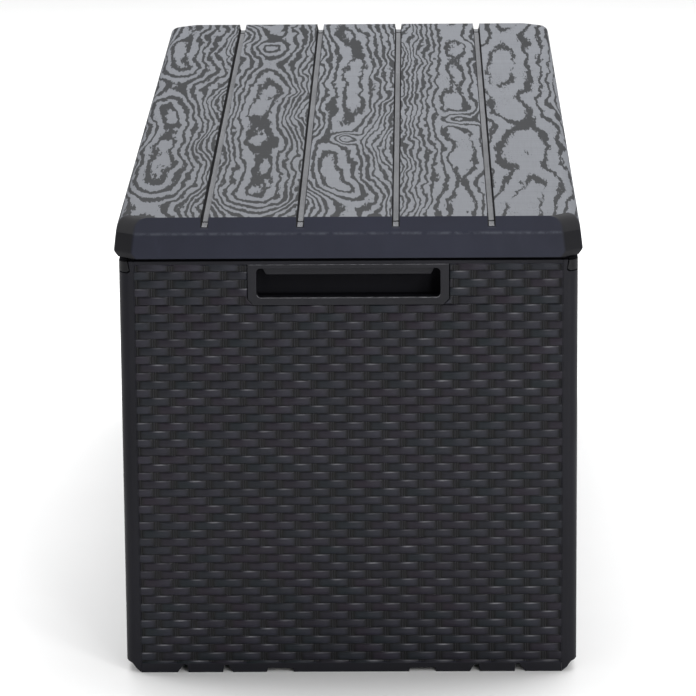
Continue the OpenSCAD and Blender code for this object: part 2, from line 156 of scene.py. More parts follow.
# painted highlight along the lid bevel's lower edge
PAINTED_BEVEL_HIGHLIGHT = (0.05, 0.054, 0.07, 1)
# painted shade for the low places of the weave
PAINTED_GAP_SHADE = (0.002, 0.002, 0.002, 1)

# The print of the planks, from the front one to the back one
PLANKS = [
    dict(centre=-0.236, side=-1, seed=3.1, cover=0.14, pale_tone=0.9),
    dict(centre=-0.118, side=0, seed=11.7, wander=0.075, cover=0.12, pale_tone=0.92),
    dict(centre=-0.011, side=0, seed=20.4, cover=0.06, pale_tone=0.98, knots=[(0.18, -0.01, 0.016)]),
    dict(centre=0.132, side=0, seed=31.9, cover=0.02, pale_tone=0.97, knots=[(0.06, 0.133, 0.02)]),
    dict(centre=0.206, side=1, seed=42.6, rings_at_edge=2.3, cover=-0.35, pale_tone=0.96),
]


# ---- shader building ----

class Shader:
    """Adds nodes to one new material. A value is a number, a colour, a vector or another node's output."""

    def __init__(self, name, material=None):
        self.material = material or bpy.data.materials.new(name)
        self.material.use_nodes = True
        self.tree = self.material.node_tree
        self.surface = self.tree.nodes["Principled BSDF"]

    def feed(self, socket, value):
        if isinstance(value, bpy.types.NodeSocket):
            self.tree.links.new(value, socket)
        else:
            socket.default_value = value

    def node(self, kind, inputs=(), **settings):
        made = self.tree.nodes.new(kind)
        for key, value in settings.items():
            setattr(made, key, value)
        for key, value in dict(inputs).items():
            self.feed(made.inputs[key], value)
        return made

    def math(self, operation, a, b=0.0, c=0.0):
        return self.node("ShaderNodeMath", {0: a, 1: b, 2: c}, operation=operation).outputs[0]

    def square(self, value):
        return self.math("POWER", value, 2.0)

    def attribute(self, name):
        return self.node("ShaderNodeAttribute", attribute_name=name).outputs["Fac"]

    def axes(self, vector):
        return self.node("ShaderNodeSeparateXYZ", {0: vector}).outputs

    def vector(self, x, y, z):
        return self.node("ShaderNodeCombineXYZ", {0: x, 1: y, 2: z}).outputs[0]

    def place(self, stretch=(1, 1, 1), offset=(0, 0, 0)):
        coordinates = self.node("ShaderNodeTexCoord").outputs["Object"]
        inputs = {"Vector": coordinates, "Scale": stretch, "Location": offset}
        return self.node("ShaderNodeMapping", inputs).outputs[0]

    def noise(self, vector, scale=1.0, detail=2.0, roughness=0.5):
        inputs = {"Vector": vector, "Scale": scale, "Detail": detail, "Roughness": roughness}
        return self.node("ShaderNodeTexNoise", inputs).outputs["Fac"]

    def ranged(self, value, low, high, to_low=0.0, to_high=1.0, smooth=False):
        inputs = {"Value": value, "From Min": low, "From Max": high, "To Min": to_low, "To Max": to_high}
        kind = "SMOOTHSTEP" if smooth else "LINEAR"
        return self.node("ShaderNodeMapRange", inputs, interpolation_type=kind).outputs[0]

    def mix(self, factor, a, b, blend="MIX"):
        made = self.node("ShaderNodeMix", data_type="RGBA", blend_type=blend)
        for socket, value in ((made.inputs["Factor"], factor), (made.inputs[6], a), (made.inputs[7], b)):
            self.feed(socket, value)
        return made.outputs[2]

    def bump(self, height, distance, strength=1.0, under=None):
        inputs = {"Height": height, "Distance": distance, "Strength": strength}
        if under is not None:
            inputs["Normal"] = under
        return self.node("ShaderNodeBump", inputs).outputs[0]

    def linked(self, name):
        """What feeds the surface's socket of that name."""
        return self.surface.inputs[name].links[0].from_socket

    def finish(self, **inputs):
        for key, value in inputs.items():
            self.feed(self.surface.inputs[key.replace("_", " ")], value)
        return self.material


def grey(level):
    """The print's slightly bluish grey."""
    return (level * 0.945, level * 0.99, level * 1.09, 1.0)


def tinted(colour, red, green, blue):
    """The colour with each channel times its own factor."""
    return (colour[0] * red, colour[1] * green, colour[2] * blue, 1.0)


# ---- materials ----

def moulded_plastic(name, colour, roughness=0.5, specular=0.3, grain=0.05 * MM):
    """Injection-moulded plastic: spark-eroded grain, faint flow marks and slightly uneven gloss."""
    s = Shader(name)
    cloudy = s.noise(s.place(), 9, 4, 0.6)
    scuffed = s.noise(s.place((1, 1, 0.25)), 60, 5, 0.65)
    fine = s.noise(s.place(), 1500, 2, 0.6)
    pale = tinted(colour, 1.5, 1.5, 1.5)
    dark = tinted(colour, 0.72, 0.72, 0.72)
    tone = s.mix(s.ranged(cloudy, 0.3, 0.7), dark, colour)
    tone = s.mix(s.ranged(scuffed, 0.62, 0.8, 0, 0.5), tone, pale)
    gloss = s.ranged(s.math("ADD", cloudy, scuffed), 0.7, 1.3, roughness + 0.07, roughness - 0.07)
    return s.finish(Base_Color=tone, Roughness=gloss, Specular_IOR_Level=specular,
                    Normal=s.bump(fine, grain, 0.5))


def grip_plastic(name, colour):
    """The wall plastic, with a painted highlight on the upturned faces of the slot's lower lip, broken up by
    noise.
    """
    material = moulded_plastic(name, colour, 0.5, 0.25)
    s = Shader(name, material)
    geometry = s.node("ShaderNodeNewGeometry").outputs
    # Painted highlight: faces turned up near the wall's outer face, the slot's lower lip, go paler in broken
    # patches
    turned_up = s.ranged(s.axes(geometry["Normal"])[2], 0.15, 0.45)
    from_centre = s.math("ABSOLUTE", s.axes(geometry["Position"])[0])
    outer = s.ranged(from_centre, END_FACE - 5 * MM, END_FACE - 3.5 * MM)
    broken = s.ranged(s.noise(s.place(), 120, 3, 0.6), 0.35, 0.6, 0.3, 1)
    painted_lip_mask = s.math("MULTIPLY", s.math("MULTIPLY", turned_up, outer), broken)
    return s.finish(Base_Color=s.mix(painted_lip_mask, s.linked("Base Color"), PAINTED_LIP_HIGHLIGHT))


def woven_plastic(name, colour, across):
    """The walls' relief: strands with lengthwise fibres, each in its own tone, with painted shade in the
    gaps and seams, painted highlights on the strands' top edges and painted light towards one end of each
    strand.
    """
    s = Shader(name)
    stretch = (0.05, 1, 1) if across == "x" else (1, 0.05, 1)
    fibres = s.noise(s.place(stretch), 900, 3, 0.6)
    blotches = s.noise(s.place(stretch), 160, 3, 0.6)
    fine = s.noise(s.place(), 1700, 2, 0.5)
    tone = s.attribute("strand_tone")
    warm = tinted(colour, 1.45, 0.9, 1.15)
    cool = tinted(colour, 0.65, 1.15, 1)
    pale = tinted(colour, 2.7, 2.7, 2.7)
    # Painted light: each strand paler towards one end, broken up by blotches
    painted_side_light = s.math("MULTIPLY", s.attribute("painted_side_light"), s.ranged(blotches, 0.3, 0.65, 0.6, 1))
    with_painted_side_light = s.mix(painted_side_light, s.mix(tone, cool, warm), pale)
    streaked = s.mix(s.ranged(s.math("ADD", fibres, blotches), 0.95, 1.4, 0, 0.5), with_painted_side_light, pale)
    # Painted highlight on the strands' top edges
    painted_edge_highlight = s.math("MULTIPLY", s.attribute("painted_edge_highlight"), s.ranged(blotches, 0.35, 0.6))
    painted_highlight = s.mix(painted_edge_highlight, streaked, PAINTED_STRAND_HIGHLIGHT)
    # Painted shade: near black where the relief is low, in the gaps and seams
    with_painted_gap_shade = s.mix(s.ranged(s.attribute("relief"), 0.16, 0.56, 1, 0), painted_highlight, PAINTED_GAP_SHADE)
    gloss = s.ranged(s.math("ADD", fibres, tone), 0.5, 1.5, 0.46, 0.34)
    normal = s.bump(fine, 0.04 * MM, 0.4, s.bump(fibres, 0.12 * MM, 0.6))
    return s.finish(Base_Color=with_painted_gap_shade, Roughness=gloss, Specular_IOR_Level=0.22, Normal=normal)


class GrainShader(Shader):
    """A plank's print: the rings of a crooked trunk, cut by the plank's face.

    x runs along the plank, and across is the distance from the trunk's middle at y = centre. side is -1 or 1
    where the plank wraps over a long side, which across then follows downwards, and 0 elsewhere.
    """

    def __init__(self, name, centre, side, seed):
        super().__init__(name)
        self.x, self.y, z = self.axes(self.place())
        under_top = self.math("SUBTRACT", LID_TOP, z)
        off_centre = self.math("SUBTRACT", self.y, centre)
        self.across = self.math("MULTIPLY_ADD", under_top, float(side), off_centre)
        self.seed = seed

    def grain(self, per_x, per_across, shift, detail, roughness):
        """Noise with its own scale along and across the plank. Each shift gives another pattern."""
        x = self.math("MULTIPLY", self.x, per_x)
        across = self.math("MULTIPLY", self.across, per_across)
        return self.noise(self.vector(x, across, self.seed + shift), 1, detail, roughness)

    def core_distance(self, wander):
        """Distance to the trunk's middle, which bends and sways, and strays in depth by wander."""
        bend = self.ranged(self.grain(1.9, 0.5, 0, 1, 0.5), 0.3, 0.7, -16 * MM, 16 * MM)
        sway = self.ranged(self.grain(7, 24, 4, 3, 0.55), 0.3, 0.7, -9 * MM, 9 * MM)
        bowed = self.math("ADD", self.across, self.math("ADD", bend, sway))
        depth_noise = self.grain(2.6, 4, 9, 1.5, 0.45)
        depth = self.math("MULTIPLY", self.math("SUBTRACT", depth_noise, 0.5), wander * 4)
        return self.math("SQRT", self.math("ADD", self.square(bowed), self.square(depth)))

    def knot_swell(self, knot_x, knot_y, size):
        """How far a knot pushes the rings outwards. It is 2.2 times as long as it is wide."""
        off_x = self.math("DIVIDE", self.math("SUBTRACT", self.x, knot_x), size * 2.2)
        off_y = self.math("DIVIDE", self.math("SUBTRACT", self.y, knot_y), size)
        reach = self.math("ADD", self.square(off_x), self.square(off_y))
        return self.math("MULTIPLY", self.math("EXPONENT", self.math("MULTIPLY", reach, -1.0)), 30 * MM)

    def ring_lines(self, distance, rings_at_edge, cover):
        """The dark lines, as 0 to 1: closer together and bolder away from the middle."""
        ragged = self.ranged(self.grain(38, 230, 14, 4, 0.72), 0.3, 0.7, -0.17, 0.17)
        spread = self.math("POWER", self.math("DIVIDE", distance, 50 * MM), 1.5)
        rings = self.math("MULTIPLY_ADD", spread, rings_at_edge, ragged)
        wave = self.math("SINE", self.math("MULTIPLY_ADD", rings, 2 * math.pi, -math.pi / 2))
        patchy = self.ranged(self.grain(9, 30, 19, 2, 0.6), 0.3, 0.7, -0.5 + cover, 0.45 + cover)
        thinner = self.ranged(distance, 0, 32 * MM, -0.6, 0)
        bold = self.math("ADD", wave, self.math("ADD", patchy, thinner))
        return self.ranged(bold, 0.05, 0.2, smooth=True)

    def specks(self):
        """Small dark pores, in patches."""
        pores = self.ranged(self.grain(240, 620, 24, 1, 0.5), 0.66, 0.69)
        patches = self.ranged(self.grain(7, 24, 29, 1, 0.5), 0.55, 0.66)
        return self.math("MULTIPLY", pores, patches)


def wood_print(name, centre, side, seed, wander=0.05, rings_at_edge=4.3, cover=0.0, pale_tone=1.0, knots=()):
    """A plank's printed grain in two greys, brushed along and across.

    wander is how far the trunk's middle strays in depth, rings_at_edge counts the rings within 50 mm of it,
    cover widens the dark lines, and each knot is (x, y, size) in metres.
    """
    s = GrainShader(name, centre, side, seed)
    distance = s.core_distance(wander)
    for knot in knots:
        distance = s.math("ADD", distance, s.knot_swell(*knot))
    line = s.math("MAXIMUM", s.ring_lines(distance, rings_at_edge, cover), s.specks())
    brush = s.grain(26, 760, 34, 3, 0.65)
    cross = s.grain(260, 7, 39, 3, 0.7)
    shade = s.math("ADD", s.math("MULTIPLY", brush, 0.7), s.math("MULTIPLY", cross, 0.8))
    brushed = s.ranged(shade, 0.5, 1.0)
    pale = s.mix(brushed, grey(0.135 * pale_tone), grey(0.178 * pale_tone))
    deep = s.mix(brushed, grey(0.018 * pale_tone), grey(0.03 * pale_tone))
    relief = s.math("SUBTRACT", s.math("MULTIPLY", brush, 0.4), s.math("MULTIPLY", line, 0.7))
    gloss = s.ranged(s.math("ADD", line, brush), 0.3, 1.6, 0.52, 0.64)
    return s.finish(Base_Color=s.mix(line, pale, deep), Roughness=gloss, Specular_IOR_Level=0.1,
                    Normal=s.bump(relief, 0.2 * MM, 0.5))


def zinc_plated(name):
    """Zinc-plated steel, drawn lengthwise, with a cloudy passivated tint."""
    s = Shader(name)
    drawn = s.noise(s.place((0.05, 1, 1)), 1400, 3, 0.6)
    cloudy = s.noise(s.place(), 45, 3, 0.6)
    colour = s.mix(s.ranged(cloudy, 0.3, 0.7), (0.48, 0.49, 0.51, 1), (0.62, 0.62, 0.6, 1))
    gloss = s.ranged(s.math("ADD", drawn, cloudy), 0.6, 1.4, 0.28, 0.46)
    return s.finish(Base_Color=colour, Metallic=1.0, Roughness=gloss, Normal=s.bump(drawn, 0.03 * MM, 0.5))


def rubber(name):
    """Soft black rubber with dust in its pores."""
    s = Shader(name)
    fine = s.noise(s.place(), 1300, 3, 0.6)
    dusty = s.noise(s.place(), 180, 4, 0.7)
    colour = s.mix(s.ranged(dusty, 0.55, 0.8), (0.012, 0.012, 0.012, 1), (0.05, 0.048, 0.045, 1))
    return s.finish(Base_Color=colour, Roughness=s.ranged(dusty, 0.3, 0.7, 0.72, 0.9),
                    Normal=s.bump(fine, 0.08 * MM, 0.6))


# ---- mesh building ----

def new_piece(name, points, faces, materials, body, face_material=None, attributes=()):
    """One shown piece from plain lists, with the given materials. It rides on the body."""
    mesh = bpy.data.meshes.new(name)
    mesh.from_pydata(points, [], faces)
    for material in materials:
        mesh.materials.append(material)
    if face_material is not None:
        mesh.polygons.foreach_set("material_index", np.asarray(face_material, np.int32))
    for key, values in dict(attributes).items():
        mesh.attributes.new(key, "FLOAT", "POINT").data.foreach_set("value", np.asarray(values, np.float32))
    mesh.shade_smooth()
    mesh.update()
    piece = bpy.data.objects.new(name, mesh)
    bpy.context.scene.collection.objects.link(piece)
    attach(piece, body)
    return piece


def grid_faces(rows, columns, keep=None, flip=False):
    """Quads of a grid of points, row by row. keep is a mask of rows - 1 by columns - 1."""
    index = np.arange(rows * columns).reshape(rows, columns)
    quads = np.stack([index[:-1, :-1], index[:-1, 1:], index[1:, 1:], index[1:, :-1]], -1)
    if flip:
        quads = quads[..., ::-1]
    quads = quads[keep] if keep is not None else quads.reshape(-1, 4)
    return quads.tolist()


def without_loose(points, faces, attributes=()):
    """The points that the faces use, and the faces renumbered to them."""
    faces = np.asarray(faces)
    used, renumbered = np.unique(faces, return_inverse=True)
    kept = {key: np.asarray(values)[used] for key, values in dict(attributes).items()}
    return np.asarray(points)[used].tolist(), renumbered.reshape(faces.shape).tolist(), kept


def soft_edges(piece, width, angle=35, weld=False):
    """Small rounded edges, which catch the light as moulded ones do."""
    if weld:
        piece.modifiers.new("weld", "WELD").merge_threshold = 0.01 * MM
    bevel = piece.modifiers.new("soft_edges", "BEVEL")
    bevel.width = width
    bevel.segments = 2
    bevel.limit_method = "ANGLE"
    bevel.angle_limit = math.radians(angle)
    bevel.use_clamp_overlap = True
    piece.modifiers.new("even_shading", "WEIGHTED_NORMAL").keep_sharp = False


# ---- weave ----

def repeated_steps(steps, pitch, low, high, start=0.0):
    """The steps, repeated at the pitch from start on, between low and high, with both ends."""
    first = math.floor((low - start) / pitch)
    last = math.ceil((high - start) / pitch)
    every = np.concatenate([steps + start + i * pitch for i in range(first, last)])
    inside = every[(every > low) & (every < high)]
    return np.concatenate([[low], inside, [high]])


def strand_columns(low, high):
    """Places along a row where the relief bends. Gaps lie half a strand apart, in turn in each row."""
    near_gap = np.array([0, 0.65, 1.3, 1.95, 2.6, 3.0, 3.5, 7.0]) * MM
    half = STRAND_PERIOD / 2
    steps = np.concatenate([near_gap, [half / 2], half - near_gap[:0:-1]])
    return repeated_steps(steps, half, low, high)


def strand_rows(low, high):
    """Heights where the relief bends across the rows."""
    steps = np.union1d(STRAND_PLACES[:-1], [0.45]) * ROW_PITCH
    return repeated_steps(steps, ROW_PITCH, low, high, ROW_START)


def strand_hash(row, place, salt):
    """A steady pseudo-random value from 0 to 1 for each strand."""
    return np.modf(np.abs(np.sin(row * 12.9898 + place * 78.233 + salt) * 43758.5453))[0]


def weave_relief(along, up):
    """Height of the relief over its floor, strand tone, a mask of painted highlight on the strands' top
    edges and a mask of painted light towards one end of each strand, on a grid.
    """
    rows_up = (up - ROW_START) / ROW_PITCH
    row = np.floor(rows_up + 1e-6)
    part = rows_up - row
    turn = along / STRAND_PERIOD + 0.5 * (row % 2)
    place = np.floor(turn)
    from_middle = (turn - place - 0.5) * STRAND_PERIOD
    from_gap = STRAND_PERIOD / 2 - np.abs(from_middle)
    crown = STRAND_MID + STRAND_VARIES * (strand_hash(row, place, 1) - 0.8)
    in_gap = from_gap < GAP_HALF - END_STEP
    half_strand = STRAND_PERIOD / 2 - GAP_HALF
    strand = STRAND_END + (crown - STRAND_END) * (1 - np.abs(from_middle / half_strand) ** STRAND_ARCH)
    warp = GAP_FLOOR + WARP_RIB * 0.5 * (1 - np.cos(2 * math.pi * from_gap / WARP_RIB_PITCH))
    warp = np.where(from_gap > WARP_RIB_PITCH, GAP_FLOOR, warp)
    level = np.where(in_gap, warp, strand)
    shoulder = np.interp(part, STRAND_PLACES, STRAND_SHARES)
    height = SEAM_LEVEL + (level - SEAM_LEVEL) * np.where(in_gap, 1, shoulder)
    # Painted highlight: the upper edge of each strand, strongest a little past its middle
    on_edge = np.interp(part, [0.8, 0.87, 0.93, 1], [0, 1, 1, 0])
    on_crown = np.clip(1.1 - np.abs(from_middle - 0.3 * half_strand) / (0.5 * half_strand), 0, 1)
    painted_edge_highlight = on_edge * on_crown * (0.3 + 0.7 * strand_hash(row, place, 9))
    # Painted light: each strand lighter towards its end at larger along, as if lit from that side
    painted_side_light = np.clip(0.35 + 0.9 * from_middle / half_strand, 0, 1)
    painted_side_light = painted_side_light * (0.45 + 0.55 * strand_hash(row, place, 3))
    return height, strand_hash(row, place, 5), painted_edge_highlight, painted_side_light


def off_plate(along, up):
    """How far a place on an end wall lies outside the grip plate. It is negative under the plate."""
    across = np.abs(along) - PLATE_HALF
    below = PLATE_LOW - up
    corner = (across + below + PLATE_CHAMFER) / math.sqrt(2)
    return np.maximum(np.maximum(across, below), corner)


def weave_skin(name, stretch, field_half, field_low, to_space, material, flip, with_grip=False):
    """A sheet of relief over one stretch of a wall, kept clear of the grip plate if there is one."""
    along = strand_columns(*stretch)
    up = strand_rows(field_low - SHEET_MARGIN, FIELD_HIGH + SHEET_MARGIN)
    rise = np.linspace(0, FIELD_RISE, 5)
    border = np.concatenate([field_half - rise, rise - field_half])
    along = np.union1d(along, border[(border > along[0]) & (border < along[-1])])
    up = np.union1d(up, np.concatenate([field_low + rise, FIELD_HIGH - rise]))
    if with_grip:
        # Rows and columns a millimetre apart follow the plate's outline
        steps = np.arange(-9, 3) * MM
        sides = np.concatenate([PLATE_HALF + steps, -PLATE_HALF - steps[::-1]])
        along = np.union1d(along, sides[(sides > along[0]) & (sides < along[-1])])
        up = np.union1d(up, PLATE_LOW - steps)
    along, up = np.meshgrid(along, up)
    height, tone, painted_edge_highlight, painted_side_light = weave_relief(along, up)
    inside = np.minimum(field_half - np.abs(along), np.minimum(up - field_low, FIELD_HIGH - up))
    # The relief rises at the border to just under the wall's face
    height = np.maximum(height, 0.97 * RECESS * np.clip(1 - inside / FIELD_RISE, 0, 1))
    keep = None
    if with_grip:
        outside = off_plate(along, up)
        height = height * np.clip(outside / MM - 0.2, 0, 1)
        keep = (outside[:-1, :-1] > -PLATE_OVERLAP) | (outside[1:, 1:] > -PLATE_OVERLAP)
    points = to_space(along, up, height).reshape(-1, 3)
    faces = grid_faces(*along.shape, keep, flip)
    attributes = {"relief": (height / RECESS).ravel(), "strand_tone": tone.ravel(),
                  "painted_edge_highlight": painted_edge_highlight.ravel(), "painted_side_light": painted_side_light.ravel()}
    points, faces, attributes = without_loose(points, faces, attributes)
    return new_piece(name, points, faces, [material], "box", attributes=attributes)


def weave_walls():
    """Relief for the four walls, each in stretches that stay light enough to keep every strand."""
    end_material = woven_plastic("woven_end", WALL_COLOUR, "y")
    side_material = woven_plastic("woven_side", WALL_COLOUR, "x")
    end_half = BACK_FACE - FIELD_BORDER
    side_half = END_FACE - FIELD_BORDER
    for sign, word in ((1, "right"), (-1, "left")):
        def on_end(along, up, height):
            return np.stack([sign * (END_FACE - RECESS + height), along, up], -1)
        for part, stretch in enumerate(((-end_half, 0), (0, end_half))):
            weave_skin(f"weave_{word}_{part + 1}", stretch, end_half, END_FIELD_LOW, on_end,
                       end_material, sign < 0, with_grip=True)
    marks = np.linspace(-side_half, side_half, 5)
    for sign, word in ((-1, "front"), (1, "back")):
        def on_side(along, up, height):
            return np.stack([along, sign * (BACK_FACE - RECESS + height), up], -1)
        for part, stretch in enumerate(zip(marks[:-1], marks[1:])):
            weave_skin(f"weave_{word}_{part + 1}", stretch, side_half, SIDE_FIELD_LOW, on_side,
                       side_material, sign > 0)


# ---- lid ----

def rounded_levels(levels, passes=2):
    """The lid's levels with their corners cut again and again, which rounds them."""
    line = np.array(levels, float) * MM
    for _ in range(passes):
        near = line[:-1] * 0.75 + line[1:] * 0.25
        far = line[:-1] * 0.25 + line[1:] * 0.75
        line = np.concatenate([line[:1], np.stack([near, far], 1).reshape(-1, 3)[1:-1], line[-1:]])
    return line


def with_height(levels, height):
    """The levels with one more at the given height."""
    extra = [height] + [np.interp(height, levels[:, 0], levels[:, k]) for k in (1, 2)]
    joined = np.concatenate([levels, [extra]])
    return joined[np.argsort(joined[:, 0])]


def corner_turn(end_inset, side_inset):
    """The lid's corner in the +X +Y quarter at one level, from the end's straight edge to the side's."""
    a = HALF_L - end_inset
    b = HALF_D - side_inset
    on_end = Vector((a, b - CUT_Y))
    on_side = Vector((a - CUT_X, b))
    along = (on_side - on_end).normalized() * CORNER_SOFTNESS
    turns = ((on_end - Vector((0, CORNER_SOFTNESS)), on_end, on_end + along),
             (on_side - along, on_side, on_side - Vector((CORNER_SOFTNESS, 0))))
    points = []
    for start, mid, stop in turns:
        for t in (0, 0.25, 0.5, 0.75, 1):
            points.append(start * (1 - t) ** 2 + mid * 2 * t * (1 - t) + stop * t ** 2)
    return np.array([tuple(p) for p in points])


def rim_ring(end_inset, side_inset):
    """A closed ring of the rim: its points, how much each is on a cut corner, and each stretch's kind."""
    corner = corner_turn(end_inset, side_inset)
    a = HALF_L - end_inset
    b = HALF_D - side_inset
    groove_floor_half = GROOVE_HALF - GROOVE_STEP
    groove_marks = np.array([y + off for y in GROOVES
                             for off in (-GROOVE_HALF, -groove_floor_half, groove_floor_half, GROOVE_HALF)])
    notch_marks = np.array([x + off for x in HINGES for off in (-NOTCH_HALF, NOTCH_HALF)])
    right_end = np.stack([np.full(len(groove_marks), a), groove_marks], -1)
    back_side = np.stack([notch_marks[::-1], np.full(len(notch_marks), b)], -1)
    half_turn = np.concatenate([right_end, corner, back_side, (corner * (-1, 1))[::-1]])
    kinds = (["end"] * len(right_end) + ["corner"] * (len(corner) - 1) + ["side"] * (len(back_side) + 1)
             + ["corner"] * (len(corner) - 1) + ["end"])
    turn_in = np.linspace(0, 1, len(corner) // 2)
    on_cut = np.concatenate([turn_in, turn_in[::-1]])
    cut = np.concatenate([np.zeros(len(right_end)), on_cut, np.zeros(len(back_side)), on_cut])
    return np.concatenate([half_turn, -half_turn]), np.tile(cut, 2), kinds * 2


def rim_plastic(name, colour):
    """The lid's dark plastic, with a painted highlight in broken stretches along the bevel's lower edge, and
    painted shade on the cut corners, which are also matt.
    """
    material = moulded_plastic(name, colour, 0.52, 0.22)
    s = Shader(name, material)
    cut = s.attribute("cut")
    broken = s.ranged(s.noise(s.place(), 85, 4, 0.7), 0.38, 0.6)
    # Painted highlight in broken stretches along the bevel's lower edge
    tone = s.mix(s.math("MULTIPLY", s.attribute("painted_highlight"), broken), s.linked("Base Color"), PAINTED_BEVEL_HIGHLIGHT)
    # Painted shade: the cut corners darker than the rest of the rim
    tone = s.mix(cut, tone, PAINTED_CORNER_SHADE)
    return s.finish(Base_Color=tone, Specular_IOR_Level=s.ranged(cut, 0, 1, 0.22, 0.12))


def rim_rings(levels):
    """The rim's points, level by level, with its top edge lowered at each groove, and what rim_ring adds."""
    rings = []
    for height, end_inset, side_inset in levels:
        ring, cut, kinds = rim_ring(end_inset, side_inset)
        z = np.full(len(ring), SKIRT_Z + height)
        for groove_y in GROOVES:
            in_groove = np.abs(ring[:, 1] - groove_y) < GROOVE_HALF - GROOVE_STEP / 2
            at_end = np.abs(ring[:, 0]) > HALF_L / 2
            z = np.where(in_groove & at_end, np.minimum(z, LID_TOP - GROOVE_DEEP - OVERLAP), z)
        rings.append(np.column_stack([ring, z]))
    return np.array(rings), cut, kinds


def rim_keep(levels, middle, kinds):
    """Which faces of the rim are there: none where a plank wraps over a side, nor where a hinge passes."""
    middle_height = (levels[1:, 0] + levels[:-1, 0]) / 2
    printed = np.array([kind == "side" for kind in kinds])
    notched = np.zeros(len(kinds), bool)
    for hinge_x in HINGES:
        notched |= (np.abs(middle[:, 0] - hinge_x) < NOTCH_HALF) & (middle[:, 1] > HALF_D / 2)
    keep = ~(printed[None, :] & (middle_height > PRINT_HEIGHT)[:, None])
    return keep & ~(notched[None, :] & (middle_height < NOTCH_TOP)[:, None])


def lid_rim(material):
    """The dark skirt and the bevels of the ends and corners, notched for grooves and hinges."""
    levels = rounded_levels(LID_LEVELS)
    for height in (NOTCH_TOP, BEVEL_EDGE_HEIGHT - PAINTED_HIGHLIGHT_HALF, BEVEL_EDGE_HEIGHT, PRINT_HEIGHT):
        levels = with_height(levels, height)
    rings, cut, kinds = rim_rings(levels)
    count = len(kinds)
    points = np.concatenate([rings, rings[:, :1]], 1)
    middle = (points[0, 1:] + points[0, :-1]) / 2
    faces = np.array(grid_faces(len(levels), count + 1, rim_keep(levels, middle, kinds)))
    faces = np.where(faces % (count + 1) == count, faces - count, faces)
    # Painted highlight: a band along the bevel's lower edge
    painted_highlight = np.clip(1 - np.abs(points[:, :, 2] - SKIRT_Z - BEVEL_EDGE_HEIGHT) / PAINTED_HIGHLIGHT_HALF, 0, 1)
    attributes = {"painted_highlight": painted_highlight.ravel(), "cut": np.tile(np.append(cut, cut[0]), len(levels))}
    points, faces, attributes = without_loose(points.reshape(-1, 3), faces, attributes)
    rim = new_piece("lid_rim", points, faces, [material], "lid", attributes=attributes)
    wall = rim.modifiers.new("wall", "SOLIDIFY")
    wall.thickness = RIM_WALL
    wall.offset = -1
    soft_edges(rim, 0.5 * MM, 50)
    return rim


def plank_wrap(levels, side):
    """The part of a plank's section that wraps over a long side, from low to high, as (y, z, reach in x).

    It starts at the first level over PRINT_HEIGHT, which leaves a slit of 1.4 mm over the rim's top.
    """
    return [(side * (HALF_D - side_inset), SKIRT_Z + height, HALF_L - end_inset - CUT_X - CORNER_SOFTNESS)
            for height, end_inset, side_inset in levels[:-1] if height >= PRINT_HEIGHT - 0.01 * MM]


def plank_lip(edge, inwards):
    """The rounded edge of a plank's section at a groove, from low to high, as (y, z, None)."""
    return [(edge + inwards * off * MM, LID_TOP - down * MM, None) for off, down in PLANK_LIP]


def plank(name, index, material):
    """One printed plank: rounded at its grooves, and wrapped over the long side if it is an outer one."""
    levels = rounded_levels(LID_LEVELS)
    top_corner = corner_turn(levels[-1, 1], levels[-1, 2])
    flat_half = HALF_D - levels[-1, 2]
    if index == 0:
        front = plank_wrap(levels, -1) + [(-flat_half, LID_TOP, None)]
    else:
        front = plank_lip(GROOVES[index - 1] + GROOVE_HALF, 1)
    if index == len(PLANKS) - 1:
        back = plank_wrap(levels, 1) + [(flat_half, LID_TOP, None)]
    else:
        back = plank_lip(GROOVES[index] - GROOVE_HALF, -1)
    flat = [(y, LID_TOP, None) for y in np.linspace(front[-1][0], back[-1][0], 25)[1:-1]]
    section = front + flat + back[::-1]
    share = np.concatenate([[-1, -0.999], np.linspace(-0.99, 0.99, 23), [0.999, 1]])
    rows = []
    for y, z, reach in section:
        if reach is None:
            reach = np.interp(abs(y), top_corner[:, 1], top_corner[:, 0])
        rows.append(np.column_stack([share * reach, np.full(len(share), y), np.full(len(share), z)]))
    points = np.concatenate(rows)
    faces = grid_faces(len(section), len(share))
    return new_piece(name, points.tolist(), faces, [material], "lid")


